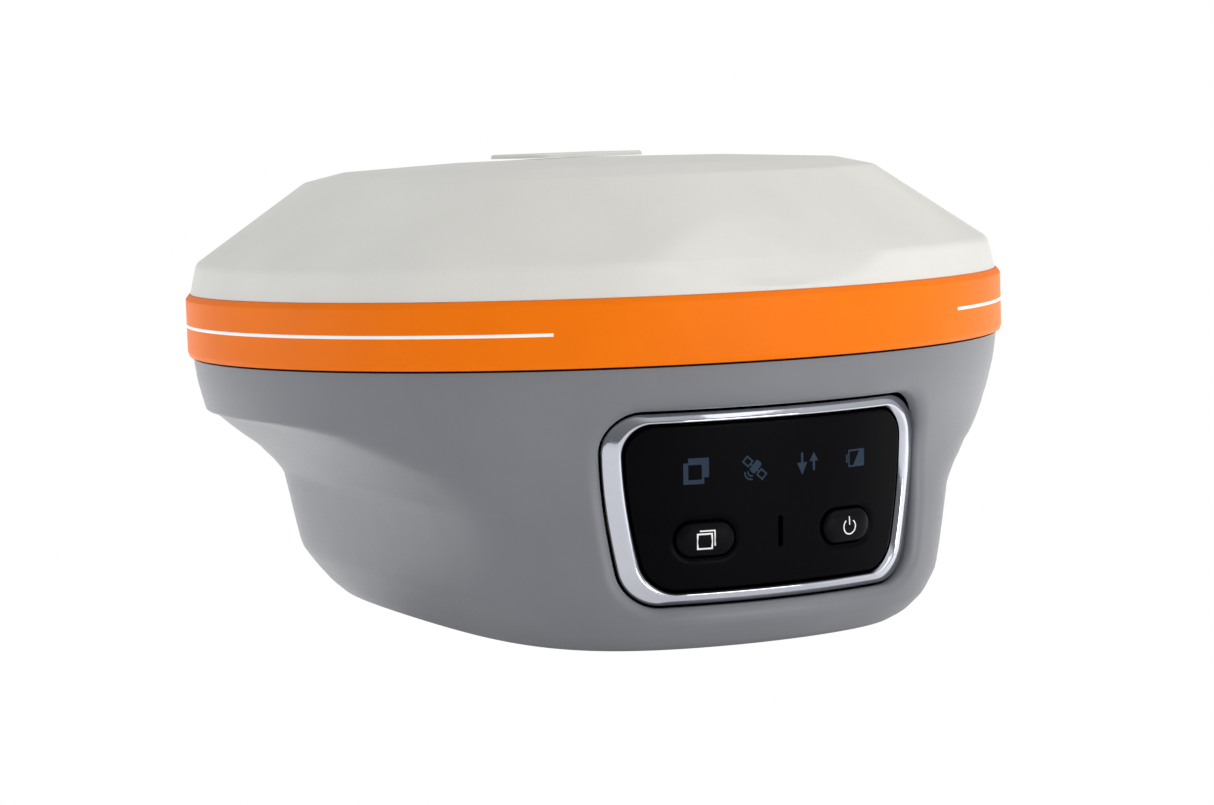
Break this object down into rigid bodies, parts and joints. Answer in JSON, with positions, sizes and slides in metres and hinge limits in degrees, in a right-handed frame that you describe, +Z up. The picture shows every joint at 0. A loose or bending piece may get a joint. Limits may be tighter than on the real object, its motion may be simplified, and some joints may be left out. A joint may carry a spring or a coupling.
{
  "type": "gnss receiver",
  "caption": "Palm-size GNSS receiver: domed radome, orange bumper band, waisted grey housing with a chrome-framed keypad, and a threaded pole mount below.",
  "frame": {"origin": "centre of the bottom face, on the pole mount's axis", "axes": "+Z up along the pole, keypad facing -Y, +X to the right of someone facing the keypad"},
  "size_m": [0.152, 0.152, 0.084],
  "materials": {
    "radome_plastic": "fine matte texture",
    "pad_white": "matte",
    "band_orange": "satin",
    "housing_grey": "fine satin texture",
    "chrome": "polished",
    "panel_black": "satin black",
    "key_black": "matte",
    "seal_rubber": "matte",
    "circuit_green": "solder mask",
    "can_steel": "plain",
    "brass": "turned",
    "plate_alloy": "anodised",
    "screw_steel": "plain",
    "battery_wrap": "shrink wrap",
    "dark_plastic": "matte",
    "lamp_resin": "clear",
    "antenna_metal": "plated",
    "antenna_ceramic": "fired"
  },
  "bodies": {
    "receiver": {"radome_cover": "radome_plastic", "top_pad": "pad_white", "bumper_band": "band_orange", "housing_seal": "seal_rubber", "lower_housing": "housing_grey", "keypad_bezel": "chrome", "keypad_window": "panel_black", "keypad_seal": "seal_rubber", "keypad_board": "circuit_green", "function_switch": "dark_plastic", "power_switch": "dark_plastic", "lamp_correction": "lamp_resin", "lamp_satellite": "lamp_resin", "lamp_radio": "lamp_resin", "lamp_battery": "lamp_resin", "mount_plate": "plate_alloy", "mount_insert": "brass", "plate_screw_1": "screw_steel", "plate_screw_2": "screw_steel", "plate_screw_3": "screw_steel", "plate_screw_4": "screw_steel", "case_screw_1": "screw_steel", "case_screw_2": "screw_steel", "case_screw_3": "screw_steel", "case_screw_4": "screw_steel", "battery_tray": "dark_plastic", "battery_pack": "battery_wrap", "board_post_1": "dark_plastic", "board_post_2": "dark_plastic", "board_post_3": "dark_plastic", "board_post_4": "dark_plastic", "main_board": "circuit_green", "positioning_module": "can_steel", "radio_module": "can_steel", "tilt_sensor": "dark_plastic", "loudspeaker": "dark_plastic", "antenna_frame": "dark_plastic", "ground_plane": "plate_alloy", "feed_board": "circuit_green", "antenna_block": "antenna_ceramic", "antenna_patch": "antenna_metal", "amplifier_can": "can_steel", "port_bay": "dark_plastic", "usb_socket": "can_steel", "data_socket": "can_steel", "whip_socket": "brass"},
    "function_key": {"function_key": "key_black"},
    "power_key": {"power_key": "key_black"},
    "port_door": {"port_door": "seal_rubber"},
    "whip_cap": {"whip_cap": "seal_rubber"}
  },
  "joints": [
    {"name": "function_press", "type": "slide", "parent": "receiver", "child": "function_key", "axis": [0, 1, 0], "range_m": [0, 0.0006], "stiffness_N_per_m": 2000},
    {"name": "power_press", "type": "slide", "parent": "receiver", "child": "power_key", "axis": [0, 1, 0], "range_m": [0, 0.0006], "stiffness_N_per_m": 2000},
    {"name": "port_door_swing", "type": "hinge", "parent": "receiver", "child": "port_door", "pos_m": [0, 0.07125, 0.0143], "axis": [-1, 0, 0], "range_deg": [0, 100]},
    {"name": "whip_cap_pull", "type": "slide", "parent": "receiver", "child": "whip_cap", "axis": [0.454, 0.891, 0], "range_m": [0, 0.012]}
  ]
}
